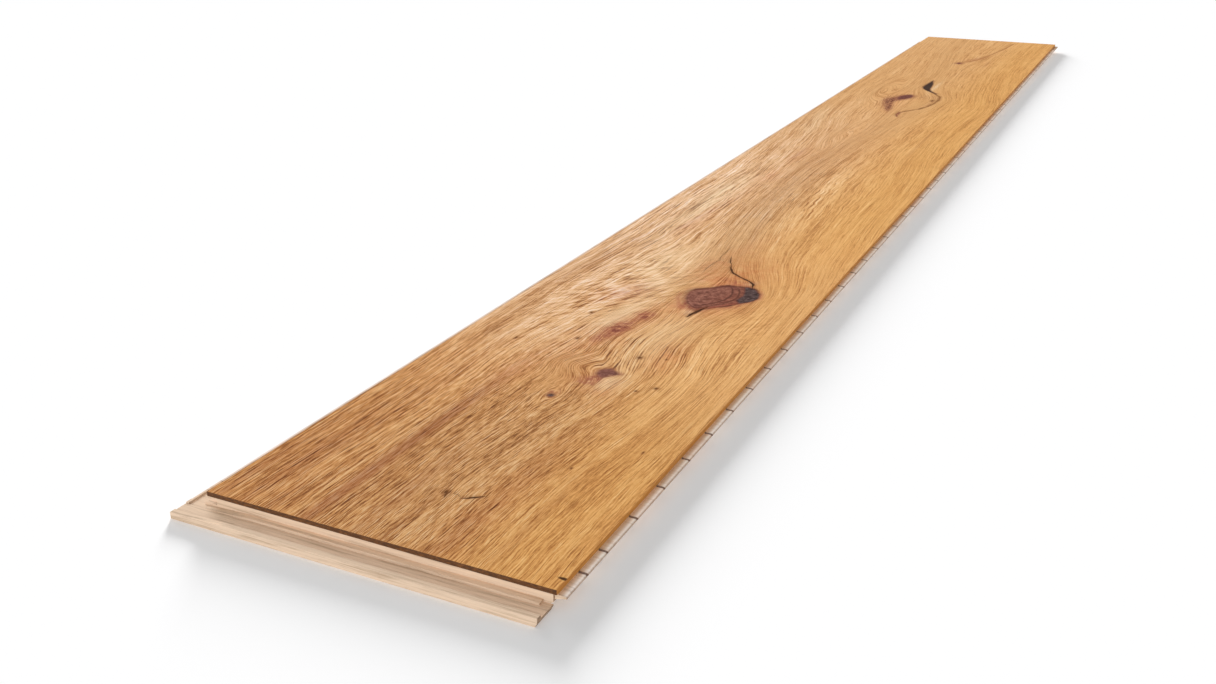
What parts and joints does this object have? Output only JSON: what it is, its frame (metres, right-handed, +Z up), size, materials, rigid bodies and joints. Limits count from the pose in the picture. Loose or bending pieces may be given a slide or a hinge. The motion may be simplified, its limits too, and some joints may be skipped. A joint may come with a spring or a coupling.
{
  "type": "parquet floorboard",
  "caption": "Wide oak-faced parquet floorboard: thin oak layer on a pale core of cross slats, with a segmented tongue, a groove edge lip with a bead, and a locking lip at one short end.",
  "frame": {"origin": "on the floor below the middle of the bounding box", "axes": "+X across the board towards its tongue edge, +Y along the board away from the end with the locking lip, +Z up out of the oak face"},
  "size_m": [0.2838, 2.2196, 0.014],
  "materials": {
    "oak": "brushed and matt oiled oak",
    "core_wood": "raw planed softwood",
    "backing_wood": "raw peeled softwood veneer"
  },
  "bodies": {
    "root": {"oak_wear_layer": "oak", "front_end_strip": "core_wood", "narrow_core_slat": "core_wood", "core_slats": "core_wood", "far_end_strip": "core_wood", "groove_edge_strip": "core_wood", "backing_veneer": "backing_wood"}
  },
  "joints": []
}
